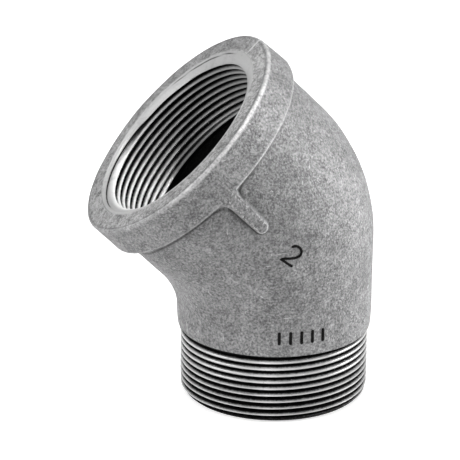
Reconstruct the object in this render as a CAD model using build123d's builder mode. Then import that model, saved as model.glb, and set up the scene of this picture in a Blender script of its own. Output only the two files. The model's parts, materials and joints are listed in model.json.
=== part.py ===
from build123d import *
import math
import os

# 45 degree street elbow, nominal 2 in. pipe size, one malleable-iron casting.
# The origin is the centre of the male end face and +Z runs up the male axis.
# XZ is the bend plane, and the female port faces towards -X and +Z.
# The casting is stored as separate solids where its shape, process or finish changes.

os.makedirs("parts", exist_ok=True)

# ---- driving dimensions, mm ----
male_centre = 56.4      # male end face to the crossing of the axes
female_centre = 45.0    # female end face to the crossing of the axes
bend_deg = 45.0

neck_r = 31.0           # cast neck above the shoulder
shoulder_r = 30.6       # neck at the shoulder
shoulder_z = 22.5       # top of the machined male end
barrel_r = 36.0         # cast barrel around the female port
throat_r = 20.0         # inside bend radius of the outer skin
wall = 5.2              # cast wall thickness
waterway_r = 22.7       # bore through the male end
seat_r = 33.4           # outside of the machined zone in the mouth
female_depth = 21.5     # machined depth of the female port
mark_h = 0.5            # height of the raised marks

# ---- pipe thread form, shared by both ends ----
pitch = 25.4 / 11.5     # 11.5 threads per inch
taper = 1 / 32          # radius per length, 1:16 on diameter
thread_h = 0.8 * pitch
groove_h = 1.81         # cutter height, a little over the thread height
root_w = 0.038 * pitch  # truncated root width
mouth_w = root_w + 2 * groove_h * math.tan(math.radians(30))
groove_inset = 1.09     # groove centre line stops this far inside the threaded zone

# ---- female axis and its frame ----
bend = math.radians(bend_deg)
centre = Vector(0, 0, male_centre)
outward = Vector(-math.sin(bend), 0, math.cos(bend))  # along the female axis
across = Vector(math.cos(bend), 0, math.sin(bend))    # towards the back of the bend
face_centre = centre + outward * female_centre
female_axis = Axis(face_centre, outward)
# Half section of the female end: x is the radius, y is 0 at the face and negative inside.
female_section = Plane(origin=face_centre, x_dir=across, z_dir=(0, -1, 0))


def female_plane(along):
    """Plane square to the female axis, this far along from the crossing of the axes."""
    return Plane(origin=centre + outward * along, x_dir=across, z_dir=outward)


# ---- bend geometry: a fan of circles about the throat's centre, the pivot ----
pivot_x = -(neck_r + throat_r)
pivot_z = male_centre - (barrel_r + throat_r) / math.cos(bend) - pivot_x
pivot_along = (Vector(pivot_x, 0, pivot_z) - centre).dot(outward)

# The back lines of neck and barrel meet at a corner, which the back arc rounds off.
corner_z = male_centre + barrel_r / math.cos(bend) - neck_r
corner_along = (Vector(neck_r, 0, corner_z) - centre).dot(outward)
back_tangent = pivot_along - corner_along
back_r = back_tangent / math.tan(bend / 2)
back_x = neck_r - back_r
back_z = corner_z - back_tangent

fan_steps = 6
fan = [math.radians(bend_deg * i / fan_steps) for i in range(fan_steps + 1)]


def back_distance(angle):
    """Distance from the pivot to the back of the bend at a fan angle."""
    cos, sin = math.cos(angle), math.sin(angle)
    straight = (neck_r - pivot_x) / cos
    if pivot_z + straight * sin <= back_z:
        return straight
    offset_x, offset_z = pivot_x - back_x, pivot_z - back_z
    half_b = offset_x * cos + offset_z * sin
    return -half_b + math.sqrt(half_b**2 - offset_x**2 - offset_z**2 + back_r**2)


def bend_station(angle, grow):
    """Plane and radius of the skin's circle at a fan angle, grown by an allowance."""
    cos, sin = math.cos(angle), math.sin(angle)
    far = back_distance(angle)
    middle = (far + throat_r) / 2
    origin = (pivot_x + middle * cos, 0, pivot_z + middle * sin)
    plane = Plane(origin=origin, x_dir=(cos, 0, sin), z_dir=(-sin, 0, cos))
    return plane, (far - throat_r) / 2 + grow


def neck_and_bend(grow):
    """Solid outer skin of the neck and bend, grown by an allowance."""
    with BuildPart() as solid:
        with BuildSketch(Plane.XZ):
            with BuildLine():
                Polyline(
                    (0, shoulder_z),
                    (shoulder_r + grow, shoulder_z),
                    (neck_r - 0.12 + grow, shoulder_z + 1.6),
                    (neck_r + grow, shoulder_z + 3.6),
                    (neck_r + grow, pivot_z),
                    (0, pivot_z),
                    close=True,
                )
            make_face()
        revolve(axis=Axis.Z)
        for angle in fan:
            plane, radius = bend_station(angle, grow)
            with BuildSketch(plane):
                Circle(radius)
        loft()
    return solid.part


skin = neck_and_bend(0)
grown_skin = neck_and_bend(mark_h)  # reaches to the top of the raised marks

with BuildPart() as barrel_skin:
    with BuildSketch(female_plane(pivot_along)):
        Circle(barrel_r)
    extrude(amount=female_centre - pivot_along)

# ---- elbow_body: the cast neck and bend, hollow ----
with BuildPart() as elbow_body:
    add(skin)
    with BuildSketch(Plane.XZ):
        with BuildLine():
            Polyline(
                (0, shoulder_z - 1),
                (waterway_r, shoulder_z - 1),
                (waterway_r, shoulder_z),
                (neck_r - wall, pivot_z),
                (0, pivot_z),
                close=True,
            )
        make_face()
    revolve(axis=Axis.Z, mode=Mode.SUBTRACT)
    for angle in fan:
        plane, radius = bend_station(angle, -wall)
        with BuildSketch(plane):
            Circle(radius)
    loft(mode=Mode.SUBTRACT)

# ---- mouth_barrel: the straight cast barrel around the female port ----
with BuildPart() as mouth_barrel:
    add(barrel_skin.part)
    with BuildSketch(female_plane(pivot_along)):
        Circle(barrel_r - wall)
    extrude(amount=female_centre - pivot_along, mode=Mode.SUBTRACT)
    with BuildSketch(female_plane(female_centre - female_depth)):
        Circle(seat_r)
    extrude(amount=female_depth, mode=Mode.SUBTRACT)

# ---- female_band: reinforcing band around the mouth ----
band_front_r, band_rear_r = 38.6, 38.95  # the front is at the end face
band_w = 11.3
band_foot = 13.0  # depth where the rear fillet runs out on the barrel

with BuildPart() as female_band:
    with BuildSketch(female_section):
        with BuildLine():
            Polyline(
                (barrel_r, 0),
                # rounded front edge
                (band_front_r - 0.8, 0),
                (band_front_r - 0.25, -0.25),
                (band_front_r, -0.8),
                # rounded rear edge
                (band_rear_r, -band_w + 0.7),
                (band_rear_r - 0.15, -band_w + 0.2),
                (band_rear_r - 0.6, -band_w - 0.1),
                # rear side and its fillet
                (band_rear_r - 1.9, -band_w - 0.45),
                (barrel_r + 0.35, -band_w - 0.95),
                (barrel_r, -band_foot),
                close=True,
            )
        make_face()
    revolve(axis=female_axis)

# ---- wrench_ribs: one rib on each side, running back from the band ----
rib_half_w = 4.8 / 2
rib_offset = 1.15                        # from the female axis towards the back of the bend
rib_tip = 16.3                           # along the female axis from the crossing
rib_root = female_centre - band_w + 1    # 1 mm inside the band
rib_len = rib_root - rib_tip
rib_base_y, rib_blank_h = 34, 6          # the blank starts inside the skin
rib_tip_h, rib_root_h = 37.95, 38.75     # height of the top from the bend plane
rib_floor = 30                           # bottom of the trimming profile
trim_w = 24                              # width of the trimming profile

# The rib flares into the band. Columns: distance short of the root, added half width.
back_flare = [(4.6, 0), (2.6, 0.75), (1.4, 2.2), (0, 5.2)]
throat_flare = [(0, 3.0), (1.4, 1.1), (2.6, 0.35), (4.0, 0)]


def wrench_rib(side):
    """Untrimmed rib on the +Y (side = 1) or -Y (side = -1) side."""
    # x runs out along the female axis, and side * y towards the back of the bend.
    plan = Plane(
        origin=centre + outward * rib_tip + Vector(0, side * rib_base_y, 0),
        x_dir=outward,
        z_dir=(0, side, 0),
    )
    tip_x, tip_half_w = rib_half_w * 0.75, rib_half_w * 0.92
    back_tip = (tip_x, side * (rib_offset + tip_half_w))
    throat_tip = (tip_x, side * (rib_offset - tip_half_w))
    back_edge = [
        (rib_len - short, side * (rib_offset + rib_half_w + widen)) for short, widen in back_flare
    ]
    throat_edge = [
        (rib_len - short, side * (rib_offset - rib_half_w - widen)) for short, widen in throat_flare
    ]
    with BuildPart() as rib:
        with BuildSketch(plan):
            with BuildLine():
                Polyline(back_tip, *back_edge, *throat_edge, throat_tip)
                ThreePointArc(throat_tip, (0, side * rib_offset), back_tip)
            make_face()
        extrude(amount=rib_blank_h)
        # Side profile, its y points to -Y. The top slopes down a little from band to tip.
        with BuildSketch(Plane(origin=centre - across * trim_w / 2, x_dir=outward, z_dir=across)):
            with BuildLine():
                Polyline(
                    (rib_tip - 1, -side * rib_floor),
                    (rib_tip - 1, -side * (rib_tip_h - 0.9)),
                    (rib_tip + 0.5, -side * (rib_tip_h - 0.2)),
                    (rib_tip + 1.6, -side * rib_tip_h),
                    (rib_root + 1, -side * rib_root_h),
                    (rib_root + 1, -side * rib_floor),
                    close=True,
                )
            make_face()
        extrude(amount=trim_w, mode=Mode.INTERSECT)
    return rib.part


ribs = [wrench_rib(side) for side in (-1, 1)]
with BuildPart() as wrench_ribs:
    for rib in ribs:
        add(rib)
    add(skin, mode=Mode.SUBTRACT)
    add(barrel_skin.part, mode=Mode.SUBTRACT)
    add(female_band.part, mode=Mode.SUBTRACT)


def groove_outline(side):
    """Cutter section, x from the root; it widens to +x (side = 1) or -x (side = -1)."""
    return [
        (0, -root_w / 2),
        (side * groove_h, -mouth_w / 2),
        (side * groove_h, mouth_w / 2),
        (0, root_w / 2),
    ]


# ---- male_thread: machined spigot with the tapered pipe thread ----
male_crest_r0 = 29.70       # crest radius of the taper at the end face
male_crest_max = 30.15      # crests stop growing at the pipe diameter
male_nose_r = 28.0          # chamfered nose at the end face
male_lead_z = 1.6           # top of the nose chamfer
male_lead_r = 29.76         # plain lead land
male_thread_z0, male_thread_z1 = 2.4, 21.7
male_full_z = (male_crest_max - male_crest_r0) / taper  # where the crests stop growing
male_groove_z0 = male_thread_z0 + groove_inset
male_groove_z1 = male_thread_z1 - groove_inset

with BuildPart() as male_thread:
    # The outline lies towards -X, so its seam is opposite the start of the groove.
    # Steps of a few hundredths mark both ends of the threaded zone.
    with BuildSketch(Plane(origin=(0, 0, 0), x_dir=(-1, 0, 0), z_dir=(0, 1, 0))):
        with BuildLine():
            Polyline(
                (waterway_r, 0),
                (male_nose_r, 0),
                (male_lead_r, male_lead_z),
                (male_lead_r, male_thread_z0),
                (male_crest_r0 + male_thread_z0 * taper + 0.02, male_thread_z0),
                (male_crest_max, male_full_z),
                (male_crest_max + 0.012, male_thread_z1),
                (male_crest_max, male_thread_z1),
                (male_crest_max, shoulder_z),
                (waterway_r, shoulder_z),
                close=True,
            )
        make_face()
    revolve(axis=Axis.Z)
    with BuildLine() as male_path:
        Helix(
            pitch=pitch,
            height=male_groove_z1 - male_groove_z0,
            radius=male_crest_r0 + male_groove_z0 * taper - thread_h,
            center=(0, 0, male_groove_z0),
            direction=(0, 0, 1),
            cone_angle=math.degrees(math.atan(taper)),
        )
    with BuildSketch(Plane(origin=male_path.line @ 0, x_dir=(1, 0, 0), z_dir=(0, 1, 0))):
        with BuildLine():
            Polyline(*groove_outline(1), close=True)
        make_face()
    sweep(path=male_path.line, is_frenet=True, mode=Mode.SUBTRACT)

# ---- female_thread: machined mouth with the tapered pipe thread ----
# Depths are measured inwards from the female end face.
mouth_chamfer_r = 32.5                      # at the face
sink_outer_r, sink_outer_depth = 31.3, 0.6  # start of the countersink
sink_inner_r, sink_inner_depth = 29.6, 2.05  # end of it, at the first ridge
female_crest_r = 28.20
female_root_r0 = 30.05                      # root radius of the taper at the face
first_ridge_w = 0.5                         # plain first ridge
first_ridge_depth = 3.0                     # inner edge of that ridge
last_thread_depth = 19.3
inner_chamfer = 0.6                         # at the inner end of the machined zone
groove_start_depth = last_thread_depth - groove_inset
groove_end_depth = first_ridge_depth + groove_inset

with BuildPart() as female_thread:
    # Here too, steps of a few hundredths mark both ends of the threaded zone.
    with BuildSketch(female_section):
        with BuildLine():
            Polyline(
                (seat_r, 0),
                (mouth_chamfer_r, 0),
                (sink_outer_r, -sink_outer_depth),
                (sink_inner_r, -sink_inner_depth),
                (female_crest_r, -first_ridge_depth + first_ridge_w),
                (female_crest_r, -first_ridge_depth),
                (female_crest_r + 0.05, -first_ridge_depth),
                (female_crest_r + 0.02, -last_thread_depth),
                (female_crest_r, -last_thread_depth),
                (female_crest_r, -female_depth + inner_chamfer),
                (female_crest_r + inner_chamfer, -female_depth),
                (seat_r, -female_depth),
                close=True,
            )
        make_face()
    revolve(axis=female_axis)
    helix_origin = face_centre - outward * groove_start_depth
    with BuildLine() as female_path:
        Helix(
            pitch=pitch,
            height=groove_start_depth - groove_end_depth,
            radius=female_root_r0 - groove_start_depth * taper,
            center=tuple(helix_origin),
            direction=tuple(outward),
            cone_angle=math.degrees(math.atan(taper)),
        )
    start = female_path.line @ 0
    radial = (start - helix_origin).normalized()
    with BuildSketch(Plane(origin=start, x_dir=radial, z_dir=outward.cross(radial))):
        with BuildLine():
            Polyline(*groove_outline(-1), close=True)
        make_face()
    sweep(path=female_path.line, is_frenet=True, mode=Mode.SUBTRACT)

# ---- raised marks on the -Y side ----
# Each is drawn clear of the casting, pushed in, and kept only between the two skins.
mark_y = -45
mark_push = 30
stroke_w = 0.95

# size_numeral: a block-stroke 2, the nominal size
numeral_x, numeral_z = -3.2, 58.4
numeral_tilt = math.radians(-38)
numeral_size = 6.4
# Corners of the stroke as x, y fractions of the numeral's size.
numeral_stroke = [
    (-0.30, 0.36), (-0.12, 0.50), (0.14, 0.50), (0.32, 0.34),
    (0.32, 0.16), (-0.32, -0.48), (0.36, -0.48),
]
numeral_points = [(x * numeral_size, y * numeral_size) for x, y in numeral_stroke]
numeral_plane = Plane(
    origin=(numeral_x, mark_y, numeral_z),
    x_dir=(math.cos(numeral_tilt), 0, math.sin(numeral_tilt)),
    z_dir=(0, -1, 0),
)
with BuildPart() as size_numeral:
    with BuildSketch(numeral_plane):
        with BuildLine():
            Polyline(*numeral_points)
        trace(line_width=stroke_w)
    extrude(amount=-mark_push)
    add(grown_skin, mode=Mode.INTERSECT)
    add(skin, mode=Mode.SUBTRACT)

# foundry_tally: a row of plain short strokes above the thread
tally_x, tally_z = 0.6, 28.9
tally_count, tally_step, tally_len = 5, 3.5, 4.6
with BuildPart() as foundry_tally:
    with BuildSketch(Plane(origin=(tally_x, mark_y, tally_z), x_dir=(1, 0, 0), z_dir=(0, -1, 0))):
        with GridLocations(tally_step, 0, tally_count, 1):
            Rectangle(stroke_w, tally_len)
    extrude(amount=-mark_push)
    add(grown_skin, mode=Mode.INTERSECT)
    add(skin, mode=Mode.SUBTRACT)

for name, piece in (
    ("elbow_body", elbow_body),
    ("mouth_barrel", mouth_barrel),
    ("female_band", female_band),
    ("wrench_ribs", wrench_ribs),
    ("male_thread", male_thread),
    ("female_thread", female_thread),
    ("size_numeral", size_numeral),
    ("foundry_tally", foundry_tally),
):
    piece.part.label = name
    export_step(piece.part, f"parts/{name}.step")
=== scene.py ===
# A cast-iron 45 degree street elbow. The male spigot stands on z = 0 with its axis on +Z. Above it
# the body bends towards -X, and a banded female port faces up and to -X. The bend lies in the XZ
# plane, and the raised marks and the camera are on the -Y side.
import json
import math

import bmesh
import bpy
import numpy as np
from mathutils import Matrix, Vector, noise
from mathutils.bvhtree import BVHTree


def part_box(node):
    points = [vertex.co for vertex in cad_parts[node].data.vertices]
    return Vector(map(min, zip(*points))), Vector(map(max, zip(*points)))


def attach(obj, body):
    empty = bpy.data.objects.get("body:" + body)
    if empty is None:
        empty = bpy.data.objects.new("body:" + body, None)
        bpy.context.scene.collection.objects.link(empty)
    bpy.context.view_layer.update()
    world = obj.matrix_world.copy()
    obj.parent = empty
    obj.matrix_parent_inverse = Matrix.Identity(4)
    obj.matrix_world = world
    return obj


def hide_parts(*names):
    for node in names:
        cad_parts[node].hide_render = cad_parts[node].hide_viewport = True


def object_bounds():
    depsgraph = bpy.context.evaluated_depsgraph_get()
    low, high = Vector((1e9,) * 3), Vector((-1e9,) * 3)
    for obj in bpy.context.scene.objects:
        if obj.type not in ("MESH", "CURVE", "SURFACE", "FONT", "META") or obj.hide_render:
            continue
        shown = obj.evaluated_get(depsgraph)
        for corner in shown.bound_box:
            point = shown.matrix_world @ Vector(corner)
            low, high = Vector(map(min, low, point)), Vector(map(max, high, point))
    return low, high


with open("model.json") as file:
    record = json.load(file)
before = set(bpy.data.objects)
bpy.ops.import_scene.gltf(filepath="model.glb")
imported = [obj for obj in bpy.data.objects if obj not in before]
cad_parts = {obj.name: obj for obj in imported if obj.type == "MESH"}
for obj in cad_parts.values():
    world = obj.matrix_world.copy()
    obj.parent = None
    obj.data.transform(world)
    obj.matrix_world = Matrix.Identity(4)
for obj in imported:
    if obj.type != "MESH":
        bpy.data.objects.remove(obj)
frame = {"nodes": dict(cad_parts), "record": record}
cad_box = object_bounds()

MM = 0.001                     # shapes are worked out in mm and built in metres
PITCH = 25.4 / 11.5            # 11.5 threads to the inch
TAPER = 1 / 32                 # radius gained per length of male thread

NECK_R = 31.0                  # outside of the casting above the shoulder
THROAT_R = 20.0                # inside corner of the bend
WALL = 5.2
CHAMFER_R = 32.1               # rim of the port's countersink
BAND_LEN = 11.4


# ---------------------------------------------------------------- CAD frame
def measure(name, origin, axis):
    """Along-axis and radial extents of a CAD node, in mm."""
    vertices = frame["nodes"][name].data.vertices
    co = np.empty(len(vertices) * 3)
    vertices.foreach_get("co", co)
    offset = co.reshape(-1, 3) / MM - origin
    along = offset @ axis
    radius = np.linalg.norm(offset - along[:, None] * axis, axis=1)
    return along.min(), along.max(), radius.min(), radius.max()


Y = np.array([0.0, 1.0, 0.0])
Z = np.array([0.0, 0.0, 1.0])
mounts = {mount["name"]: mount for mount in frame["record"]["mounts"]}
port_mount = mounts["female_pipe_thread"]
PORT_DIR = np.array(port_mount["axis"], float)
PORT_DIR /= np.linalg.norm(PORT_DIR)
PORT_SIDE = np.array([PORT_DIR[2], 0.0, -PORT_DIR[0]])   # across the port, in the bend plane
port_at = np.array(port_mount["pos_m"], float) / MM
CROSS_Z = port_at[2] - port_at[0] * PORT_DIR[2] / PORT_DIR[0]
CROSSING = np.array([0.0, 0.0, CROSS_Z])                 # where the two axes meet

# a name ending in _T is a distance along the port's axis from the crossing
_, SHOULDER_Z, BORE_R, CREST_MAX_R = measure("male_thread", np.zeros(3), Z)
PORT_END_T, MOUTH_T, PORT_CREST_R, SEAT_R = measure("female_thread", CROSSING, PORT_DIR)
FOOT_T, _, BARREL_R, BAND_R = measure("female_band", CROSSING, PORT_DIR)
PORT_DEPTH = MOUTH_T - PORT_END_T
REAR_T = MOUTH_T - BAND_LEN                              # the band's rear wall

# the bend is a fan of circles hinged at the throat's centre, with an arc for its outer side
BEND = math.atan2(-PORT_DIR[0], PORT_DIR[2])
FAN_X = -(NECK_R + THROAT_R)
FAN_Z = CROSS_Z - (BARREL_R + THROAT_R) / math.cos(BEND) - FAN_X
FAN_T = float((np.array([FAN_X, 0, FAN_Z]) - CROSSING) @ PORT_DIR)
CORNER_Z = CROSS_Z + BARREL_R / math.cos(BEND) - NECK_R
CORNER_T = float((np.array([NECK_R, 0, CORNER_Z]) - CROSSING) @ PORT_DIR)
ARC_RUN = FAN_T - CORNER_T                               # from the corner to either tangent point
ARC_R = ARC_RUN / math.tan(BEND / 2)
ARC_Z, ARC_X = CORNER_Z - ARC_RUN, NECK_R - ARC_R


def reach(angle):
    """Distance from the fan's hinge to the outer side of the bend."""
    c, s = math.cos(angle), math.sin(angle)
    straight = (NECK_R - FAN_X) / c
    if FAN_Z + straight * s <= ARC_Z:
        return straight
    x, z = FAN_X - ARC_X, FAN_Z - ARC_Z
    b = x * c + z * s
    return -b + math.sqrt(b * b - x * x - z * z + ARC_R * ARC_R)


# a ring is (centre x, centre z, direction x, direction z, radius)
def fan_ring(angle, grow=0.0):
    far = reach(angle)
    middle, radius = (far + THROAT_R) / 2, (far - THROAT_R) / 2 + grow
    c, s = math.cos(angle), math.sin(angle)
    return FAN_X + middle * c, FAN_Z + middle * s, c, s, radius


def neck_ring(radius, z):
    return 0.0, z, 1.0, 0.0, radius


def port_ring(radius, t):
    x, _, z = CROSSING + PORT_DIR * t
    return x, z, PORT_SIDE[0], PORT_SIDE[2], radius


# ------------------------------------------------------------------ helpers
def bezier(steps, *controls):
    points = []
    for i in range(steps + 1):
        u = i / steps
        weights = ((1 - u) ** 3, 3 * u * (1 - u) ** 2, 3 * u * u * (1 - u), u ** 3)
        points.append(tuple(sum(w * v for w, v in zip(weights, axis)) for axis in zip(*controls)))
    return points


def smooth(x, lo, hi):
    u = np.clip((x - lo) / (hi - lo), 0, 1)
    return u * u * (3 - 2 * u)


def bell(x, width):
    return np.exp(-((x / width) ** 2))


def wobble(p, scale, seed):
    """Smooth noise about zero at a mm scale."""
    return noise.noise(Vector((
        p[0] / scale + seed * 7.13, p[1] / scale - seed * 3.7, p[2] / scale + seed)))


def make_object(name, points, faces, attrs=None, sharp_deg=None):
    """A smooth-shaded object from points in mm, with float attributes per point."""
    mesh = bpy.data.meshes.new(name)
    mesh.from_pydata([tuple(p * MM) for p in points], [], faces)
    mesh.validate(clean_customdata=False)
    for key, values in (attrs or {}).items():
        attribute = mesh.attributes.new(key, "FLOAT", "POINT")
        attribute.data.foreach_set("value", np.asarray(values, dtype=np.float32).ravel())
    ob = bpy.data.objects.new(name, mesh)
    bpy.context.scene.collection.objects.link(ob)
    bm = bmesh.new()
    bm.from_mesh(mesh)
    bmesh.ops.remove_doubles(bm, verts=bm.verts, dist=2e-6)
    bmesh.ops.dissolve_degenerate(bm, edges=bm.edges, dist=1e-6)
    bmesh.ops.recalc_face_normals(bm, faces=bm.faces)
    bm.to_mesh(mesh)
    bm.free()
    mesh.polygons.foreach_set("use_smooth", [True] * len(mesh.polygons))
    if sharp_deg is not None:
        mesh.set_sharp_from_angle(angle=math.radians(sharp_deg))
    mesh.update()
    return ob


def ring_band(a, b, count):
    """Quads between two closed rings of points that start at a and b."""
    return [(a + i, a + (i + 1) % count, b + (i + 1) % count, b + i) for i in range(count)]


# --------------------------------------------------- cast shell: the plain grid
# Columns run round the casting: 0 degrees on the outer side of the bend, 180 at the throat and
# -90 facing -Y.
COLUMN_STEP = 1.4
FINE_STEP = 0.4
FINE_MARGIN = 0.5
# centre and half width of each finer zone, in degrees: the parting lines and the ribs
FINE_ZONES = ((3.5, 2.6), (180, 1.6), (199.5, 1.6), (88, 8.4), (272, 8.4))

# Bezier outlines of the skin as (radius, z) on the neck and (radius, t) on the port
SHOULDER_EDGE = (
    (CREST_MAX_R + 0.12, SHOULDER_Z), (30.52, SHOULDER_Z),
    (30.66, SHOULDER_Z + 0.15), (30.70, SHOULDER_Z + 0.6))
NECK_FLARE = (
    SHOULDER_EDGE[-1], (30.86, SHOULDER_Z + 1.9), (NECK_R, SHOULDER_Z + 3.2), (NECK_R, FAN_Z))
BAND_FOOT = (
    (BARREL_R, FOOT_T), (BARREL_R, REAR_T - 0.75),
    (BARREL_R + 0.25, REAR_T - 0.3), (BARREL_R + 1.2, REAR_T - 0.15))
REAR_EDGE = (
    (BAND_R - 0.6, REAR_T), (BAND_R - 0.14, REAR_T + 0.06),
    (BAND_R, REAR_T + 0.28), (BAND_R, REAR_T + 0.8))
BAND_DRAFT = 0.33              # the band narrows by this towards the mouth
MOUTH_EDGE = (
    (BAND_R - BAND_DRAFT, MOUTH_T - 0.95), (BAND_R - 0.35, MOUTH_T - 0.32),
    (BAND_R - 0.7, MOUTH_T), (BAND_R - 1.35, MOUTH_T))
NECK_BORE = (
    (NECK_R - WALL, FAN_Z), (NECK_R - WALL, FAN_Z - 2.2),
    (BORE_R, SHOULDER_Z + 3.0), (BORE_R, SHOULDER_Z))
# radius, t and wear with painted highlight where the face turns into the countersink
FACE_LIP = (
    (CHAMFER_R + 0.55, MOUTH_T, 0.05), (CHAMFER_R + 0.28, MOUTH_T - 0.02, 0.25),
    (CHAMFER_R + 0.1, MOUTH_T - 0.07, 0.55))
BARREL_STEP = 0.33
SIDE_STEPS, FACE_STEPS = 15, 10
FAN_STEPS, BORE_FAN_STEPS = 78, 30
INNER_R = BARREL_R - WALL
INNER_T = PORT_END_T - 0.4

SKIN, FACE, SEAT, WATERWAY = range(4)                    # kinds of row


def column_angles():
    angles = {round(k * COLUMN_STEP, 3) for k in range(math.ceil(359.9 / COLUMN_STEP))}
    fine = set()
    for centre, half in FINE_ZONES:
        angles = {a for a in angles
                  if abs((a - centre + 180) % 360 - 180) > half + FINE_MARGIN}
        for k in range(round(2 * half / FINE_STEP) + 1):
            fine.add(round((centre - half + k * FINE_STEP) % 360, 3))
    return np.radians(sorted(angles | fine))


def cast_rows():
    """Rings from the shoulder over the skin to the mouth and back down the inside.

    Each row is a ring followed by its kind and its wear with painted highlight.
    """
    rows = []

    def add(ring, kind, wear_and_highlight=0.0):
        rows.append((*ring, kind, wear_and_highlight))

    for radius in (BORE_R, 27.5, CREST_MAX_R - 0.35):
        add(neck_ring(radius, SHOULDER_Z), SEAT)
    for radius, z in bezier(6, *SHOULDER_EDGE) + bezier(8, *NECK_FLARE)[1:-1]:
        add(neck_ring(radius, z), SKIN)
    for i in range(FAN_STEPS + 1):
        add(fan_ring(BEND * i / FAN_STEPS), SKIN)
    t = FAN_T + BARREL_STEP
    while t < FOOT_T - 0.2:
        add(port_ring(BARREL_R, t), SKIN)
        t += BARREL_STEP

    # the band, its face and the countersink's rim
    for radius, t in bezier(7, *BAND_FOOT):
        add(port_ring(radius, t), SKIN)
    add(port_ring(BARREL_R + 1.8, REAR_T - 0.06), SKIN)
    # the rear edge and the mouth's edge carry wear with painted highlight
    for radius, t in bezier(7, *REAR_EDGE):
        add(port_ring(radius, t), SKIN, 0.30 * bell(t - REAR_T - 0.35, 0.36))
    side_from, side_to = REAR_EDGE[-1][1], MOUTH_EDGE[0][1]
    for k in range(1, SIDE_STEPS):
        u = k / SIDE_STEPS
        add(port_ring(BAND_R - BAND_DRAFT * u, side_from + u * (side_to - side_from)), SKIN)
    for radius, t in bezier(9, *MOUTH_EDGE):
        wear_and_highlight = 0.92 * bell(radius - BAND_R + 0.48, 0.36)
        add(port_ring(radius, t), SKIN, wear_and_highlight * (1 if t < MOUTH_T - 0.02 else 0.3))
    face_from, face_to = MOUTH_EDGE[-1][0], FACE_LIP[0][0]
    for k in range(1, FACE_STEPS):
        add(port_ring(face_from + k / FACE_STEPS * (face_to - face_from), MOUTH_T), FACE)
    for radius, t, wear_and_highlight in FACE_LIP:
        add(port_ring(radius, t), FACE, wear_and_highlight)

    # the seat behind the port's thread, then the waterway back to the shoulder
    for t in (MOUTH_T - 1.5, PORT_END_T):
        add(port_ring(SEAT_R, t), SEAT)
    for radius, t in ((SEAT_R - 0.9, PORT_END_T), (INNER_R + 0.3, PORT_END_T), (INNER_R, INNER_T)):
        add(port_ring(radius, t), WATERWAY)
    for k in range(1, 5):
        add(port_ring(INNER_R, INNER_T + (FAN_T - INNER_T) * k / 5), WATERWAY)
    for i in range(BORE_FAN_STEPS, -1, -1):
        add(fan_ring(BEND * i / BORE_FAN_STEPS, -WALL), WATERWAY)
    for radius, z in bezier(8, *NECK_BORE)[1:-1]:
        add(neck_ring(radius, z), WATERWAY)
    return rows


def grid_normals(grid):
    """Outward normals of the plain grid."""
    round_step = np.roll(grid, -1, axis=1) - np.roll(grid, 1, axis=1)
    row_step = np.zeros_like(grid)
    row_step[1:-1] = grid[2:] - grid[:-2]
    row_step[0], row_step[-1] = grid[1] - grid[0], grid[-1] - grid[-2]
    cross = np.cross(round_step, row_step)
    return cross / np.maximum(np.linalg.norm(cross, axis=2, keepdims=True), 1e-9)


PHI = column_angles()
PHI_DEG = np.degrees((PHI + math.pi) % (2 * math.pi) - math.pi)
COS, SIN = np.cos(PHI), np.sin(PHI)
# one value per row, kept as a column so that it spreads over the grid
ring_x, ring_z, way_x, way_z, radii, kinds, row_wear_and_highlight = np.array(cast_rows()).T[:, :, None]
n_rows, n_cols = len(radii), len(PHI)
FULL = np.ones((n_rows, n_cols))
grid = np.stack((ring_x + way_x * radii * COS, radii * SIN, ring_z + way_z * radii * COS), axis=2)
normals = grid_normals(grid)
radial = COS[None, :, None] * PORT_SIDE + SIN[None, :, None] * Y
along = (grid - CROSSING) @ PORT_DIR
across = (grid - CROSSING) @ PORT_SIDE
skin = kinds == SKIN
outer = kinds <= FACE
mouth_rows = (kinds == FACE) | (along[:, :1] > MOUTH_T - 1.2) & skin

# ------------------------------------------------ cast shell: relief, wear and painted light and shade
# tables over the degrees round the casting: angles, then values
# painted highlight along the mouth's edge by angle, strongest towards -Y and the outer side
MOUTH_EDGE_HIGHLIGHT = (
    [-180, -150, -124, -104, -90, -60, -20, 10, 25, 60, 120, 180],
    [0.10, 0.12, 0.22, 0.70, 1.0, 1.0, 0.88, 0.70, 0.25, 0.15, 0.10, 0.10])
OUT_OF_ROUND = (               # mm
    [-180, -160, -130, -100, -60, -20, 0, 20, 50, 75, 90, 105, 120, 135, 150, 165, 180],
    [0.40, 0.10, 0.0, 0.0, 0.0, -0.25, -0.35, -0.15, 0.0, -0.15, -0.35, -0.55, -0.70, -0.45,
     -0.05, 0.25, 0.40])
FACE_PALENESS = (
    [-180, -120, -60, -10, 4, 10, 80, 110, 150, 180],
    [0.55, 0.6, 0.95, 0.95, 0.5, 0.15, 0.22, 0.25, 0.25, 0.55])
# the same on both sides, so over the unsigned angle
# painted highlight on the band's rear edge beside the ribs
REAR_EDGE_HIGHLIGHT = ([50, 66, 84, 92, 180], [0, 0.9, 1.2, 0, 0])
# painted shadow at the band's foot, by angle
FOOT_SHADOW = ([0, 40, 68, 80, 88, 140, 170, 180], [0.0, 0.15, 0.30, 0.70, 0.9, 0.9, 0.5, 0.4])
# degrees round the mouth, radius and size of each sand pit
PITS = (
    (160.8, 32.9, 0.40), (159.2, 33.8, 0.36), (162.6, 33.5, 0.30), (157.5, 35.2, 0.30),
    (-167.6, 36.3, 0.36), (-154.0, 32.9, 0.34), (-153.2, 34.0, 0.26), (5.0, 33.5, 0.30))
RIB_ACROSS, RIB_TIP_T, RIB_HALF = -1.15, 16.3, 2.4
RIB_FILLETS = (5.2, 2.8)       # blend into the band on the throat side and on the other
SKIN_SEAMS = (0.0, 180.0)      # where the parting line runs, in degrees
FACE_SEAMS = (3.5, -160.5)
UNEVENNESS = ((0.085, 11.0, 1), (0.045, 4.2, 2), (0.022, 1.5, 5))    # height, scale, seed


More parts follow.
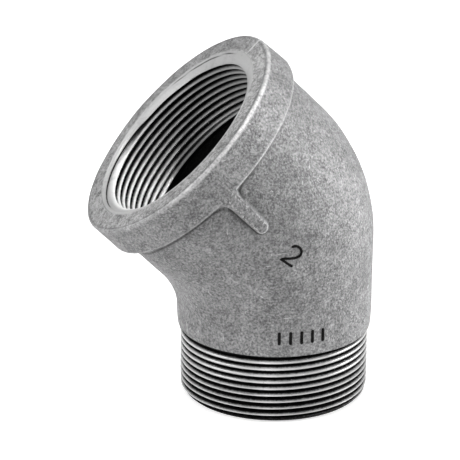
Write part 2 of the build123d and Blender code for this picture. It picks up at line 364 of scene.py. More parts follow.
def degrees_off(angle):
    return np.abs((PHI_DEG - angle + 180) % 360 - 180)


def union(a, b, fillet):
    """Smooth union of two signed distances."""
    h = np.clip(0.5 + 0.5 * (b - a) / fillet, 0, 1)
    return b * (1 - h) + a * h - fillet * h * (1 - h)


# ribs on both sides, running back from the band and flush with it at their roots
rib_across = across - (RIB_ACROSS + 0.25 * (along - 24) / 8)
throat_side = rib_across < 0
rib_half = RIB_HALF - 0.30 * (1 - smooth(along, RIB_TIP_T, 27.0))
tip_centre_t = RIB_TIP_T + RIB_HALF - 0.25
rib_gap = np.sqrt(np.maximum(tip_centre_t - along, 0) ** 2 + rib_across ** 2) - rib_half


def rib_and_band(rib, band):
    throat_fillet, back_fillet = RIB_FILLETS
    return np.where(throat_side, union(rib, band, throat_fillet), union(rib, band, back_fillet))


gap = rib_and_band(rib_gap, REAR_T + 0.1 - along)
near_rib = (np.abs(grid[..., 1]) > 27) & (np.abs(across) < 15) & skin & (along > 10)
rib_top_r = 37.95 + 0.95 * smooth(along, 17.0, 33.0)
plain_r = np.where(along > FAN_T, radii, BARREL_R)
raised = smooth(-gap, -0.22, 0.50) * near_rib
relief = np.maximum(rib_top_r - plain_r, 0) * raised * (along < REAR_T + 0.8)

# wear and painted highlight on the band's edges and the ribs' outlines, with chips along the ribs'
# shoulders; the highlight is strongest where the light falls
wear_and_highlight = row_wear_and_highlight * FULL
highlit_mouth_edge = (skin & (radii > 37.4) & (row_wear_and_highlight > 0.43))[:, 0]
wear_and_highlight[highlit_mouth_edge] *= np.interp(PHI_DEG, *MOUTH_EDGE_HIGHLIGHT)
wear_and_highlight[near_rib & (along < REAR_T + 1.3) & (rib_gap < 0.4)] = 0.0
on_rear_edge = (along > REAR_T - 0.5) & (along < REAR_T + 1.3)
wear_and_highlight *= np.where(on_rear_edge, 1 + np.interp(np.abs(PHI_DEG), *REAR_EDGE_HIGHLIGHT), 1.0)
rib_edge = near_rib * (along < REAR_T + 0.5) * bell(gap + 0.46, 0.30)
# painted highlight at the ribs' tips, with wear along their outlines
rib_wear_and_highlight = 0.06 + 0.10 * throat_side + 0.90 * (1 - smooth(along, 16.9, 19.4))
wear_and_highlight = np.maximum(wear_and_highlight, rib_edge * rib_wear_and_highlight)
ridge = bell(np.abs(rib_across) - 1.35, 0.42) * near_rib * (rib_gap < 0)
ridge *= smooth(along, 17.5, 19.0) * (1 - smooth(along, 33, 37))

# painted shadow at the foot of the band and of the ribs, as wide as the hidden step looks from the
# camera and varying in strength round the casting
foot_width = 1.21 / np.maximum(COS * 0.079 + np.abs(SIN) * 0.908, 0.35)
foot_gap = rib_and_band(
    rib_gap - np.where(throat_side, 0.32, 0.12), REAR_T - 0.12 - foot_width - along)
shadow_strength = np.where(
    (rib_across > 0.8) & (along < 28.5), 0.12, np.interp(np.abs(PHI_DEG), *FOOT_SHADOW))
painted_shadow_and_pits = skin * (along > 14) * (along < REAR_T - 0.3) * shadow_strength * bell(foot_gap, 0.36)

# the relief leans from the skin's normal to the port's radius
lean = smooth(along, 18.0, 23.0)[..., None]
grid += (normals * (1 - lean) + radial * lean) * relief[..., None]

# the mouth of the casting isn't quite round
grip = smooth(along, REAR_T - 0.2, REAR_T + 0.4) * outer
grip = grip * (0.35 + 0.65 * smooth(along, REAR_T + 2, MOUTH_T - 1))
grip *= 0.15 + 0.85 * smooth(radii, CHAMFER_R + 0.5, BAND_R - 2.0)
grid += radial * (grip * np.interp(PHI_DEG, *OUT_OF_ROUND))[..., None]

# parting line of the mould, in the bend plane on the skin and askew on the face
skin_arc, face_arc = (
    np.radians(np.minimum(degrees_off(a), degrees_off(b))) * radii
    for a, b in (SKIN_SEAMS, FACE_SEAMS))
arc = np.where(mouth_rows, face_arc, skin_arc)
seam = bell(arc, np.where(mouth_rows, 0.44, 0.42))
seam_height = np.zeros_like(FULL)
for j, i in np.argwhere(outer & (arc < 1.6)):
    seam_height[j, i] = seam[j, i] * (0.10 + 0.12 * (0.5 + 0.5 * wobble(grid[j, i], 9.0, 3)))
seam_tint = seam_height * 4.0
seam_tint[mouth_rows[:, 0]] *= np.where(degrees_off(FACE_SEAMS[0]) < 20, 5.0, 0.75)
face_mask = (kinds == FACE) * (0.25 + 0.75 * np.interp(PHI_DEG, *FACE_PALENESS))

# sand pits by the parting line, sunk only into the face
pit = np.zeros_like(FULL)
for angle, pit_r, size in PITS:
    distance = np.hypot(np.radians(degrees_off(angle)) * radii, radii - pit_r)
    pit = np.maximum(pit, bell(distance, size) * mouth_rows)
# the pits are darkened in the same attribute as the painted foot shadow
painted_shadow_and_pits = np.maximum(painted_shadow_and_pits, 0.95 * pit)
grid -= normals * (0.25 * pit * (kinds == FACE))[..., None]
grid += normals * seam_height[..., None]

# sand-cast unevenness, fading out at the shoulder
uneven = np.zeros_like(FULL)
for j, i in np.argwhere(outer & (FULL > 0)):
    uneven[j, i] = sum(h * wobble(grid[j, i], scale, seed) for h, scale, seed in UNEVENNESS)
uneven[:9] *= np.linspace(0, 1, 9)[:, None]
grid += normals * uneven[..., None]

# painted light and shade: darker about the rib on the -Y side and paler towards the outer side of
# the bend, where the light falls
SHADE_AT, SHADE_SIZE = np.array([-6.0, -33.0, 81.0]), 24
painted_shading = np.interp(
    (grid[..., 0] + 8) * 0.968 - 0.25 * grid[..., 1],
    [-40, -10, 0, 15, 30], [1.0, 0.97, 1.05, 1.12, 1.14])
painted_shading *= 1 - 0.30 * bell(np.linalg.norm(grid - SHADE_AT, axis=2), SHADE_SIZE)

cast_faces = []
for j in range(n_rows):
    cast_faces += ring_band(j * n_cols, (j + 1) % n_rows * n_cols, n_cols)
casting = make_object("cast_shell", grid.reshape(-1, 3), cast_faces, {
    "wear_and_highlight": wear_and_highlight, "ridge": ridge, "inside": (kinds >= SEAT) * FULL, "face": face_mask,
    "seam": seam_tint, "painted_shadow_and_pits": painted_shadow_and_pits, "painted_shading": painted_shading})

# ------------------------------------------------------------------ threads
THREAD_COLS = 300
LEAD_TURNS = 2
CREST_FLAT, ROOT_FLAT = 0.24, 0.12
FLANK_STEPS = 5
THREAD_DEPTH = (PITCH - CREST_FLAT - ROOT_FLAT) / 2 * math.tan(math.radians(60))


def thread_profile():
    """One pitch of a 60 degree thread: (position from the crest's centre, depth)."""
    x0, y0 = CREST_FLAT / 2 + 0.05, 0.09
    x1, y1 = PITCH / 2 - ROOT_FLAT / 2 - 0.03, THREAD_DEPTH - 0.05
    half = [(0.0, 0.0), (CREST_FLAT * 0.36, 0.0), (CREST_FLAT / 2, 0.018), (x0, y0)]
    for k in range(1, FLANK_STEPS):
        u = k / FLANK_STEPS
        half.append((x0 + (x1 - x0) * u, y0 + (y1 - y0) * u))
    half += [(x1, y1), (PITCH / 2 - ROOT_FLAT / 4, THREAD_DEPTH)]
    return half + [(PITCH - x, y) for x, y in half[1:]][::-1]


PROFILE = thread_profile()


def depth_at(x):
    xs, ys = zip(*PROFILE, (PITCH, 0.0))
    return float(np.interp(x, xs, ys))


def threaded(name, z_lo, z_hi, phase, base, fade, limit, sign, painted_shade, shine, rings,
             place=None, lean=0.0):
    """The points and groove values of a threaded wall, on a sheared grid whose rows follow the
    helix.

    base(z) is the crest radius, fade(z, phi) scales the groove, limit(z, r, phi) applies
    chamfers, and stain(z, phi) paints shade on plain parts. sign is +1 for an external thread
    and -1 for an internal one. shine is not used. rings is not used. lean is how far the helix
    sits below its true place at phi = 0, from a thread cut slightly askew.
    """
    n, cols = len(PROFILE), THREAD_COLS
    wall_rows = (int((z_hi - z_lo) / PITCH) + 2 * LEAD_TURNS + 2) * n
    z_start = z_lo - LEAD_TURNS * PITCH
    angles = [2 * math.pi * i / cols for i in range(cols)]
    points, groove = [], []
    for j in range(wall_rows):
        x, profile_depth = PROFILE[j % n]
        row_z = z_start + (j // n) * PITCH + x
        for i, phi in enumerate(angles):
            turn = PITCH * i / cols + phase - lean * math.cos(phi)
            z = min(max(row_z + turn, z_lo), z_hi)
            depth = profile_depth
            if z in (z_lo, z_hi):
                # a clamped vertex works out the thread's depth at the end itself, then sets it to
                # nought
                depth = depth_at(((z - z_start - turn) / PITCH) % 1.0 * PITCH)
                depth *= 0.0
            r = limit(z, base(z) - sign * depth * fade(z, phi), phi)
            if z in (z_lo, z_hi):
                pass
            points.append((r * math.cos(phi), r * math.sin(phi), z))
            groove.append(max(abs(r - limit(z, base(z), phi)) / THREAD_DEPTH, painted_shade(z, phi)))
    return points, groove


def threaded(name, z_lo, z_hi, phase, base, fade, limit, sign, painted_shade, shine, rings,
             place=None, lean=0.0):
    """A threaded wall as a sheared grid whose rows follow the helix, closed by plain rings.

    base(z) is the crest radius, fade(z, phi) scales the groove, limit(z, r, phi) applies
    chamfers, and stain(z, phi) paints shade on plain parts. sign is +1 for an external thread
    and -1 for an internal one. shine(degrees, z) is the brightness painted as light and shade.
    rings are (radius, z). lean is how far the helix sits below its true place at phi = 0, from a
    thread cut slightly askew.
    """
    n, cols = len(PROFILE), THREAD_COLS
    wall_rows = (int((z_hi - z_lo) / PITCH) + 2 * LEAD_TURNS + 2) * n
    z_start = z_lo - LEAD_TURNS * PITCH
    angles = [2 * math.pi * i / cols for i in range(cols)]
    points, groove = [], []
    for j in range(wall_rows):
        x, profile_depth = PROFILE[j % n]
        row_z = z_start + (j // n) * PITCH + x
        for i, phi in enumerate(angles):
            turn = PITCH * i / cols + phase - lean * math.cos(phi)
            z = min(max(row_z + turn, z_lo), z_hi)
            depth = profile_depth
            if z in (z_lo, z_hi):
                # a clamped vertex takes the thread's depth at the end itself
                depth = depth_at(((z - z_start - turn) / PITCH) % 1.0 * PITCH)
            r = limit(z, base(z) - sign * depth * fade(z, phi), phi)
            points.append((r * math.cos(phi), r * math.sin(phi), z))
            # the groove value also carries the painted shade
            groove.append(max(abs(r - limit(z, base(z), phi)) / THREAD_DEPTH, painted_shade(z, phi)))
    faces = []
    for j in range(wall_rows - 1):
        a, b = j * cols, (j + 1) * cols
        faces += [(a + i, a + i + 1, b + i + 1, b + i) for i in range(cols - 1)]
    # the last column meets the first one a whole turn on
    for j in range(wall_rows - 1 - n):
        a, b = j * cols + cols - 1, (j + n) * cols
        faces.append((a, b, b + cols, a + cols))

    first_ring = len(points)
    for r, z in rings:
        points += [(r * math.cos(phi), r * math.sin(phi), z) for phi in angles]
    groove += [0.0] * (len(points) - first_ring)
    last_ring = len(points) - cols
    for a in range(first_ring, last_ring, cols):
        faces += ring_band(a, a + cols, cols)
    faces += ring_band(0, first_ring, cols)
    faces += ring_band(first_ring - cols, last_ring, cols)

    co = np.array(points)
    around = np.degrees(np.arctan2(co[:, 1], co[:, 0]))
    attrs = {"groove": groove, "shine": shine(around, co[:, 2])}
    return make_object(name, place(co) if place else co, faces, attrs, sharp_deg=38)


# male spigot
NOSE_Z, NOSE_R = 1.9, 28.0     # height of the nose chamfer and radius of the nose
CREST_START_R = 29.70
# painted light and shade round the male thread, with a painted highlight near -109 degrees
MALE_SHINE = (                 # degrees, brightness
    [-180, -160, -132, -119, -109, -100, -86, -57, -30, 0, 60, 120, 180],
    [0.50, 0.48, 0.42, 0.46, 0.66, 0.50, 0.43, 0.46, 0.42, 0.44, 0.56, 0.56, 0.50])


def male_base(z):
    return min(CREST_START_R + z * TAPER, CREST_MAX_R)


def male_fade(z, phi):
    """The groove runs out into the cast shoulder."""
    return float(1 - smooth(z, SHOULDER_Z - 0.22, SHOULDER_Z) * 0.6)


def male_limit(z, r, phi):
    rise = male_base(NOSE_Z) + 0.12 - NOSE_R
    return min(r, NOSE_R + rise * min(z / NOSE_Z, 1.0) ** 0.82)


def male_painted_shade(z, phi):
    """Painted shade: the nose chamfer and the run-out at the shoulder are painted dark."""
    nose = 0.50 * float(1 - smooth(z, 0.9, 1.7))
    return nose + 0.9 * float(smooth(z, SHOULDER_Z - 0.85, SHOULDER_Z - 0.55))


def male_shine(degrees, z):
    return np.interp(degrees, *MALE_SHINE)


male = threaded(
    "male_spigot_thread", z_lo=0.0, z_hi=SHOULDER_Z, phase=1.03, base=male_base,
    fade=male_fade, limit=male_limit, sign=+1, painted_shade=male_painted_shade, shine=male_shine,
    rings=[(NOSE_R - 0.25, 0.0), (BORE_R + 0.55, 0.0), (BORE_R + 0.16, 0.12), (BORE_R, 0.5),
           (BORE_R, 8.0), (BORE_R, 16.0), (BORE_R, SHOULDER_Z), (27.0, SHOULDER_Z)])

# female port, built with its mouth at z = 0 and the thread below, then laid on its axis
PORT_BASE_R = PORT_CREST_R + 0.02
PORT_ROOT_R, PORT_ROOT_TAPER = 30.12, 0.036
LIP_DEPTH = 0.34
SLEEVE_R = SEAT_R - 0.40       # outside of the threaded wall
# tables over the degrees round the port: angles, then values
CUT_EXTRA = ([92, 114, 140, 165], [0, 0.32, 0.32, 0])
RUNOUT_DEPTH = (
    [95, 105, 120, 135, 150, 165, 180, 195], [1.50, 1.43, 1.24, 1.07, 0.92, 0.76, 0.64, 0.56])
RUNOUT_DARK = ([98, 108, 150, 182, 192], [0, 0.95, 0.85, 0.70, 0])
RUNOUT_WIDTH = ([98, 125, 180], [0.26, 0.20, 0.15])
LIP_SHADOW = ([8, 25, 70, 92], [0, 0.62, 0.58, 0])
# painted light and shade round the port's thread and at its lip, by angle
PORT_SHINE = (
    [-180, -150, -120, -60, -30, 0, 35, 60, 90, 118, 136, 172, 180],
    [1.0, 0.9, 0.70, 0.50, 0.26, 0.22, 0.21, 0.19, 0.24, 0.50, 1.0, 1.0, 1.0])
LIP_SHINE = (
    [-180, -150, -90, 0, 60, 75, 95, 125, 145, 180],
    [0.26, 0.34, 0.38, 0.28, 0.31, 0.34, 0.33, 0.42, 0.40, 0.26])


def port_base(z):
    return PORT_BASE_R


def port_fade(z, phi):
    """Roots taper from the mouth inwards, and the thread fades out at its inner end."""
    root = PORT_ROOT_R + PORT_ROOT_TAPER * z
    return (root - PORT_BASE_R) / THREAD_DEPTH * float(smooth(PORT_DEPTH + z, 0.9, 2.6))


def port_limit(z, r, phi):
    """A rounded lip, then a countersink, a little off centre, through the first turn."""
    depth = -z
    if depth < LIP_DEPTH:
        return max(r, CHAMFER_R - 0.05 - 0.95 * (depth / LIP_DEPTH) ** 0.8)
    out = 0.10 * (1 - math.cos(phi - math.radians(70)))
    out += float(np.interp(math.degrees(phi) % 360, *CUT_EXTRA))
    cone = CHAMFER_R - 1.0 - 1.68 * (depth - LIP_DEPTH)
    return max(r, cone + out * float(smooth(depth, LIP_DEPTH, 0.9)))


def port_painted_shade(z, phi):
    """Painted shade: the first groove's dark run-out line, a thin shadow under the lip and a dark
    inner end.
    """
    depth = -z
    line, dark, width, shadow = (
        float(np.interp(math.degrees(phi) % 360, *table))
        for table in (RUNOUT_DEPTH, RUNOUT_DARK, RUNOUT_WIDTH, LIP_SHADOW))
    return max(dark * bell(depth - line, width), shadow * bell(depth - 0.29, 0.10),
               float(smooth(depth, PORT_DEPTH - 1.3, PORT_DEPTH - 0.7)))


def port_shine(degrees, z):
    """Painted light and shade by angle and depth; the lip and the countersink are painted lit all
    round.
    """
    deep = np.interp(degrees, *PORT_SHINE)
    return deep + (np.interp(degrees, *LIP_SHINE) - deep) * smooth(z, -2.6, -1.2)


def to_mouth(co):
    """Lays the port on its axis; the tool ran slightly off the casting's centre."""
    x, y, z = co.T[:, :, None]
    aside = -0.36 * smooth(-z, 0.10, 0.9)
    return CROSSING + PORT_DIR * MOUTH_T + (x + aside) * PORT_SIDE + y * Y + z * PORT_DIR


female = threaded(
    "female_port_thread", z_lo=-PORT_DEPTH, z_hi=-0.04, phase=0.2, base=port_base,
    fade=port_fade, limit=port_limit, sign=-1, painted_shade=port_painted_shade, shine=port_shine,
    rings=[(INNER_R, -PORT_DEPTH), (SLEEVE_R, -PORT_DEPTH), (SLEEVE_R, -12.0),
           (SLEEVE_R, -1.6), (CHAMFER_R + 0.02, -0.05)],
    place=to_mouth, lean=0.42)

# ------------------------------------------------------------- raised marks
MARK_HEIGHT = 0.42
STROKE_STEP = 0.16
# half round of a stroke: side in widths, height in mark heights
STROKE_SECTION = (
    (-0.5, -0.35), (-0.5, 0.0), (-0.46, 0.42), (-0.34, 0.78), (-0.14, 0.98),
    (0.14, 0.98), (0.34, 0.78), (0.46, 0.42), (0.5, 0.0), (0.5, -0.35))
NUMERAL_SIZE, NUMERAL_STRETCH, NUMERAL_TILT = 6.3, 1.08, math.radians(-38)
NUMERAL_WIDTH = 0.82
TALLY_WIDTH, TALLY_INSET, TALLY_COUNT = 0.98, 0.47, 5

surface = BVHTree.FromObject(casting, bpy.context.evaluated_depsgraph_get())


def drop(x, z):
    """Point and normal on the -Y side of the casting at (x, z) mm."""
    hit, normal, _, _ = surface.ray_cast(Vector((x * MM, -0.09, z * MM)), Vector((0, 1, 0)))
    return np.array(hit) / MM, np.array(normal)


def stroke(path, width):
    """A rounded raised stroke that follows the casting's surface."""
    flat = [np.array(path[0], float)]
    for a, b in zip(path, path[1:]):
        a, b = np.array(a, float), np.array(b, float)
        steps = max(1, int(round(np.linalg.norm(b - a) / STROKE_STEP)))
        flat += [a + (b - a) * k / steps for k in range(1, steps + 1)]
    spine, up = (np.array(part) for part in zip(*(drop(x, z) for x, z in flat)))
    for _ in range(3):
        up[1:-1] = (up[2:] + up[1:-1] + up[:-2]) / 3
    up /= np.linalg.norm(up, axis=1, keepdims=True)
    run = np.r_[0, np.cumsum(np.linalg.norm(np.diff(spine, axis=0), axis=1))]
    last, m = len(spine) - 1, len(STROKE_SECTION)
    verts, faces = [], []
    for k in range(last + 1):
        side = np.cross(spine[min(k + 1, last)] - spine[max(k - 1, 0)], up[k])
        side /= np.linalg.norm(side)
        to_end = min(run[k], run[-1] - run[k])
        # the ends are rounded off
        swell = math.sqrt(max(0.0, 1 - max(0.0, 1 - to_end / (width * 0.5)) ** 2))
        swell = max(swell, 0.12)
        for x, y in STROKE_SECTION:
            height = y * MARK_HEIGHT * (swell if y > 0 else 1.0)
            verts.append(spine[k] + side * x * width * swell + up[k] * height)
    for k in range(last):
        faces += ring_band(k * m, (k + 1) * m, m)
    faces.append(tuple(range(m))[::-1])
    faces.append(tuple(last * m + q for q in range(m)))
    return verts, faces


def stroke_object(name, paths, width):
    verts, faces = [], []
    for path in paths:
        new_verts, new_faces = stroke(path, width)
        faces += [tuple(i + len(verts) for i in face) for face in new_faces]
        verts += new_verts
    return make_object(name, np.array(verts), faces, sharp_deg=60)


def numeral_path():
    """A plain drawn 2 on a unit box."""
    points = []
    for k in range(15):
        a = math.radians(165 - k * 195 / 14)
        points.append((0.30 * math.cos(a), 0.22 + 0.27 * math.sin(a)))
    x, y = points[-1]
    points += bezier(10, (x, y), (x - 0.05, y - 0.2), (-0.22, -0.30), (-0.33, -0.48))[1:]
    return points + [(0.36, -0.48)]


def size_mark():
    lo, hi = (np.array(corner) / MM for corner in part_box("size_numeral"))
    centre = (lo + hi) / 2
    c, s = math.cos(NUMERAL_TILT), math.sin(NUMERAL_TILT)
    path = []
    for x, y in numeral_path():
        x, y = x * NUMERAL_SIZE * NUMERAL_STRETCH, y * NUMERAL_SIZE
        path.append((centre[0] + x * c - y * s, centre[2] + x * s + y * c))
    return stroke_object("size_mark", [path], NUMERAL_WIDTH)


def tally_marks():
    lo, hi = (np.array(corner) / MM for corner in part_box("foundry_tally"))
    xs = np.linspace(lo[0] + TALLY_INSET, hi[0] - TALLY_INSET, TALLY_COUNT)
    paths = [[(x, lo[2] + 0.1), (x, hi[2] - 0.1)] for x in xs]
    return stroke_object("tally_marks", paths, TALLY_WIDTH)


numeral = size_mark()
tally = tally_marks()


# ---------------------------------------------------------------- materials
def add_node(tree, kind, inputs, output, **settings):
    """Adds a shader node, sets or links its inputs and returns one output."""
    node = tree.nodes.new("ShaderNode" + kind)
    for key, value in settings.items():
        setattr(node, key, value)
    for key, value in inputs.items():
        if isinstance(value, bpy.types.NodeSocket):
            tree.links.new(value, node.inputs[key])
        else:
            node.inputs[key].default_value = value
    return node.outputs[output]


class Graph:
    """A material whose textures are laid out in mm; a plain number as a colour is a grey."""

    def __init__(self, name):
        self.mat = bpy.data.materials.new(name)
        self.mat.use_nodes = True
        self.tree = self.mat.node_tree
        self.tree.nodes.clear()
        metres = self.node("TexCoord", {}, "Object")
        self.mm = self.node("Mapping", {"Vector": metres, "Scale": (1000, 1000, 1000)}, 0)

    def node(self, kind, inputs, output, **settings):
        return add_node(self.tree, kind, inputs, output, **settings)

    def finish(self, inputs):
        shader = self.node("BsdfPrincipled", inputs, 0)
        out = self.tree.nodes.new("ShaderNodeOutputMaterial")
        self.tree.links.new(shader, out.inputs[0])
        return self.mat

    def map(self, scale=(1, 1, 1), rot=(0, 0, 0)):
        return self.node("Mapping", {"Vector": self.mm, "Scale": scale, "Rotation": rot}, 0)

    def noise(self, size, detail=2.0, rough=0.5, vec=None, distort=0.0):
        return self.node("TexNoise", {
            "Vector": vec or self.mm, "Scale": 1 / size, "Detail": detail,
            "Roughness": rough, "Distortion": distort}, "Fac")

    def voronoi(self, size):
        return self.node("TexVoronoi", {"Vector": self.mm, "Scale": 1 / size}, "Distance")

    def attr(self, name):
        return self.node("Attribute", {}, "Fac", attribute_name=name)

    def math(self, op, a, b, clamp=False):
        return self.node("Math", {0: a, 1: b}, 0, operation=op, use_clamp=clamp)

    def times(self, a, b, clamp=False):
        return self.math("MULTIPLY", a, b, clamp)

    def weighted(self, *parts):
        """Sum of (value, weight) pairs."""
        total, *rest = [self.times(value, weight) for value, weight in parts]
        for part in rest:
            total = self.math("ADD", total, part)
        return total

    def ramp(self, x, lo, hi, start=0.0, end=1.0):
        return self.node("MapRange", {
            "Value": x, "From Min": lo, "From Max": hi, "To Min": start, "To Max": end,
        }, 0, interpolation_type="SMOOTHSTEP")

    def mix(self, fac, a, b):
        a, b = ((v, v, v, 1) if isinstance(v, (int, float)) else v for v in (a, b))
        return self.node("Mix", {0: fac, 6: a, 7: b}, 2, data_type="RGBA")

    def bump(self, height, dist, strength):
        return self.node(
            "Bump", {"Strength": strength, "Distance": dist * MM, "Height": height}, 0)


def cast_skin():
    g = Graph("cast_iron_skin")
    cloud = g.noise(size=17.0)
    mottle = g.noise(size=3.0, detail=4, rough=0.6)
    grain = g.noise(size=0.72, detail=3, rough=0.66)
    sand = g.voronoi(size=0.62)
    shade = g.weighted((cloud, 0.16), (mottle, 0.26), (grain, 0.60), (sand, -0.10))
    col = g.mix(g.ramp(shade, lo=0.28, hi=0.70),
                (0.053, 0.053, 0.054, 1), (0.304, 0.304, 0.306, 1))
    face = g.ramp(g.weighted((grain, 0.6), (mottle, 0.4)), lo=0.36, hi=0.60, start=0.10, end=0.46)
    col = g.mix(g.times(g.attr("face"), 0.75), col, face)
    # light flecks and patches
    fleck = g.ramp(g.noise(size=0.95, detail=4, rough=0.72), lo=0.60, hi=0.72)
    patch = g.ramp(g.noise(size=5.5, detail=5, rough=0.68, distort=0.8), lo=0.55, hi=0.72)
    patch = g.times(patch, g.ramp(grain, lo=0.4, hi=0.62))
    col = g.mix(g.times(fleck, 0.50), col, (0.38, 0.38, 0.382, 1))
    col = g.mix(g.times(patch, 0.32), col, (0.42, 0.42, 0.422, 1))
    # dark pores, stronger on the face
    pore = g.noise(size=0.85, detail=3, rough=0.6, vec=g.map(rot=(0.7, 0.2, 0.4)))
    pore = g.times(g.ramp(pore, lo=0.62, hi=0.74),
                   g.math("ADD", 0.50, g.times(g.attr("face"), 0.25)))
    col = g.mix(pore, col, (0.018, 0.018, 0.019, 1))

    # fine short scratches in two directions
    def scratch(scale, rot, lo, hi):
        return g.ramp(g.noise(size=1.5, vec=g.map(scale, rot)), lo, hi)

    scratches = g.math(
        "MAXIMUM",
        scratch(scale=(0.30, 2.4, 1.1), rot=(0.3, 0.5, 0.9), lo=0.68, hi=0.72),
        scratch(scale=(2.4, 0.9, 0.34), rot=(-0.5, 0.2, -0.4), lo=0.69, hi=0.73))
    scratches = g.times(scratches, g.ramp(g.noise(size=9.0), lo=0.48, hi=0.60))
    col = g.mix(g.times(scratches, 0.45), col, 0.50)
    # worn edges with painted highlight, chips, the parting line and the painted shadow at the foot
    # of each step
    broken = g.ramp(g.noise(size=1.6, detail=4, rough=0.65), lo=0.30, hi=0.60, start=0.35)
    wear_and_highlight_mask = g.times(g.attr("wear_and_highlight"), broken, clamp=True)
    col = g.mix(g.times(wear_and_highlight_mask, 0.80), col, 0.62)
    chips = g.noise(size=0.85, detail=4, rough=0.72, vec=g.map(rot=(1.1, 0.3, 0.2)))
    chips = g.times(g.attr("ridge"), g.ramp(chips, lo=0.50, hi=0.60))
    col = g.mix(g.times(chips, 0.70, clamp=True), col, 0.55)
    line = g.ramp(g.noise(size=2.2, detail=3), lo=0.36, hi=0.58)
    line = g.times(g.attr("seam"), line, clamp=True)
    col = g.mix(g.times(line, 0.60), col, 0.55)
    # painted shadow at the foot of each step, and the darkened pits
    col = g.mix(g.times(g.attr("painted_shadow_and_pits"), 1.05, clamp=True), col, 0.010)
    # painted light and shade scale the whole colour
    col = g.node("VectorMath", {0: col, "Scale": g.attr("painted_shading")}, 0, operation="SCALE")
    # painted shade: the waterway is unlit and painted near black
    col = g.mix(g.attr("inside"), col, 0.014)
    rough = g.math("SUBTRACT", 0.64, g.times(wear_and_highlight_mask, 0.28))
    height = g.weighted((mottle, 0.4), (grain, 0.8), (sand, 0.45))
    height = g.math("SUBTRACT", height, g.times(pore, 0.5))
    return g.finish({
        "Base Color": col,
        "Metallic": 0.45,
        "Roughness": g.math("SUBTRACT", rough, g.times(grain, 0.10)),
        "Normal": g.bump(height, dist=0.26, strength=0.85)})


def machined(name, tilt, dark_at, metal, shade_start, rag):
    """Bright crests over grooves with painted shade; clean and dark_at are the groove depths where
    the painted shade starts and where it is full, rag breaks them.
    """
    g = Graph(name)
    ragged = g.math("SUBTRACT", g.noise(size=0.9, detail=3, rough=0.7), 0.5)
    groove = g.math("ADD", g.attr("groove"), g.times(ragged, rag))
    shade = g.ramp(groove, lo=shade_start, hi=dark_at)
    black = g.ramp(groove, lo=dark_at * 0.55 + shade_start * 0.35, hi=dark_at * 1.35)
    fine = g.noise(size=0.5, detail=3, rough=0.6, vec=g.map(scale=(0.25, 0.25, 2.6), rot=tilt))
    smear = g.noise(size=4.5, detail=3, rough=0.6)
    crest = g.mix(g.ramp(fine, lo=0.3, hi=0.75), 0.92, 1.0)
    crest = g.mix(g.ramp(smear, lo=0.50, hi=0.75, end=0.35), crest, 0.45)
    # nicks on the crests
    nick = g.ramp(g.noise(size=1.1, detail=3, rough=0.6), lo=0.66, hi=0.74)
    crest = g.mix(g.times(nick, 0.75), crest, 0.05)
    flank = g.ramp(g.noise(size=1.1, detail=4, rough=0.6), lo=0.45, hi=0.8)
    col = g.mix(shade, crest, g.mix(flank, 0.07, 0.20))
    speck = g.ramp(g.noise(size=0.7, detail=4, rough=0.7), lo=0.56, hi=0.72)
    col = g.mix(black, col, g.mix(speck, 0.003, 0.036))
    height = g.weighted((fine, 0.7), (g.noise(size=0.35), 0.3))
    return g.finish({
        # the shine attribute scales the colour with painted light and shade
        "Base Color": g.mix(g.attr("shine"), 0.0, col),
        "Metallic": g.ramp(shade, lo=0, hi=1, start=metal, end=0.3),
        "Roughness": g.ramp(shade, lo=0, hi=1, start=0.36, end=0.6),
        "Specular IOR Level": g.ramp(black, lo=0, hi=1, start=0.5, end=0.03),
        "Normal": g.bump(height, dist=0.05, strength=0.6)})


def darkened_marks():
    g = Graph("darkened_marks")
    n = g.noise(size=0.8, detail=4, rough=0.65)
    return g.finish({
        "Base Color": g.mix(g.ramp(n, lo=0.35, hi=0.8), 0.0015, 0.012),
        "Roughness": g.ramp(n, lo=0.3, hi=0.7, start=0.65, end=0.9),
        "Specular IOR Level": 0.06,
        "Normal": g.bump(n, dist=0.08, strength=0.7)})


def pale_floor():
    g = Graph("pale_floor")
    return g.finish({
        "Base Color": g.mix(g.noise(size=60.0), 0.90, 0.93),
        "Roughness": 0.9,
        "Specular IOR Level": 0.1,
        "Emission Color": (1, 1, 1, 1),
        "Emission Strength": 0.45})


casting.data.materials.append(cast_skin())
male.data.materials.append(machined(
    "machined_male", tilt=(0, 0, 0), dark_at=0.40, metal=0.55, shade_start=0.02, rag=0.42))
female.data.materials.append(machined(
    "machined_female", tilt=(0, math.radians(45), 0), dark_at=0.60, metal=0.15, shade_start=0.14,
    rag=0.28))
mark_material = darkened_marks()
numeral.data.materials.append(mark_material)
tally.data.materials.append(mark_material)

for piece, nodes, slot in (
    (casting, ("elbow_body", "mouth_barrel", "female_band", "wrench_ribs"), "cast_skin"),
    (male, ("male_thread",), "machined_iron"),
    (female, ("female_thread",), "machined_iron"),
    (numeral, ("size_numeral",), "cast_marks"),
    (tally, ("foundry_tally",), "cast_marks"),
):
    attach(piece, "root")
    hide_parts(*nodes)

# -------------------------------------------------------------------- stage
scene = bpy.context.scene
bpy.ops.mesh.primitive_plane_add(size=4.0, location=(0, 0, -0.0002))
floor = bpy.context.object
floor.name = "floor"
floor.data.materials.append(pale_floor())


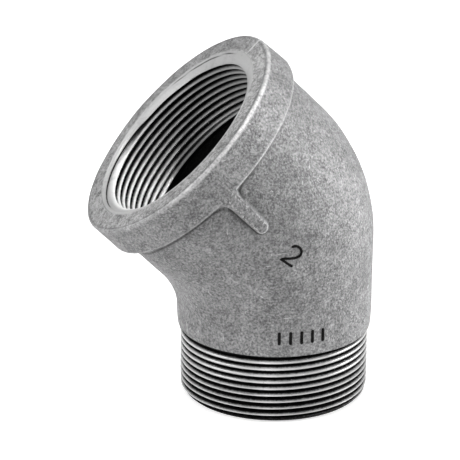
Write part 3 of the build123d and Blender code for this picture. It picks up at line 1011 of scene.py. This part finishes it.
def light_tent():
    """A white world, brighter to the sides and behind than on the camera's side."""
    world = bpy.data.worlds.new("studio")
    scene.world = world
    world.use_nodes = True
    tree = world.node_tree
    ray = add_node(tree, "TexCoord", {}, "Generated")
    to_camera = add_node(
        tree, "VectorMath", {0: ray, 1: (-0.235, -0.908, 0.05)}, "Value",
        operation="DOT_PRODUCT")
    strength = add_node(tree, "MapRange", {
        "Value": to_camera, "From Min": 0.25, "From Max": 0.95, "To Min": 0.80, "To Max": 0.38,
    }, 0, interpolation_type="SMOOTHSTEP")
    background = tree.nodes["Background"]
    background.inputs[0].default_value = (1, 1, 1, 1)
    tree.links.new(strength, background.inputs[1])


def add_light(name, kind, location, aim, **settings):
    light = bpy.data.lights.new(name, kind)
    for key, value in settings.items():
        setattr(light, key, value)
    ob = bpy.data.objects.new(name, light)
    ob.location = Vector(location)
    ob.rotation_euler = (aim - ob.location).to_track_quat("-Z", "Y").to_euler()
    scene.collection.objects.link(ob)


light_tent()
(x_lo, _, z_lo), (x_hi, _, z_hi) = cad_box
centre = Vector(((x_lo + x_hi) / 2, 0, (z_lo + z_hi) / 2))
for name, location, width, height, power in (
    ("right", (0.83, -0.12, 0.03), 0.5, 0.8, 17.0),
    ("left", (-0.78, -0.12, 0.36), 0.5, 0.7, 5.0),
    ("front", (0.10, -0.80, 0.12), 0.30, 0.30, 0.6),
):
    add_light(name, "AREA", location, centre,
              shape="RECTANGLE", size=width, size_y=height, energy=power)

# a snooted lamp that reaches only the far left wall of the mouth
wall_angle = math.radians(160)
wall_point = CROSSING + PORT_DIR * (MOUTH_T - 15)
wall_point = wall_point + 27 * (math.cos(wall_angle) * PORT_SIDE + math.sin(wall_angle) * Y)
add_light("snoot", "SPOT", (0.28, -0.46, 0.88), Vector(wall_point * MM),
          energy=170.0, spot_size=math.radians(3.1), spot_blend=0.8, shadow_soft_size=0.05)

# ------------------------------------------------------------------- camera
AZIMUTH, ELEVATION, ROLL = map(math.radians, (-14.49, 20.26, 0.46))
CAMERA_DISTANCE = 800.0
CAMERA_TARGET = Vector((-8, 0, 55))


def add_camera():
    back = Vector((
        math.sin(AZIMUTH) * math.cos(ELEVATION), -math.cos(AZIMUTH) * math.cos(ELEVATION),
        math.sin(ELEVATION)))
    level = Vector((math.cos(AZIMUTH), math.sin(AZIMUTH), 0))
    upright = back.cross(level)
    right = level * math.cos(ROLL) + upright * math.sin(ROLL)
    up = upright * math.cos(ROLL) - level * math.sin(ROLL)
    camera = bpy.data.cameras.new("camera")
    camera.sensor_width = 36.0
    camera.lens = 199.09565
    camera.shift_x = -0.04430435
    camera.shift_y = -0.00795652
    camera.clip_start, camera.clip_end = 0.05, 20
    ob = bpy.data.objects.new("camera", camera)
    matrix = Matrix((right, up, back)).transposed().to_4x4()
    matrix.translation = (CAMERA_TARGET + back * CAMERA_DISTANCE) * MM
    ob.matrix_world = matrix
    scene.collection.objects.link(ob)
    scene.camera = ob


add_camera()
scene.view_settings.view_transform = "Standard"
scene.view_settings.look = "None"
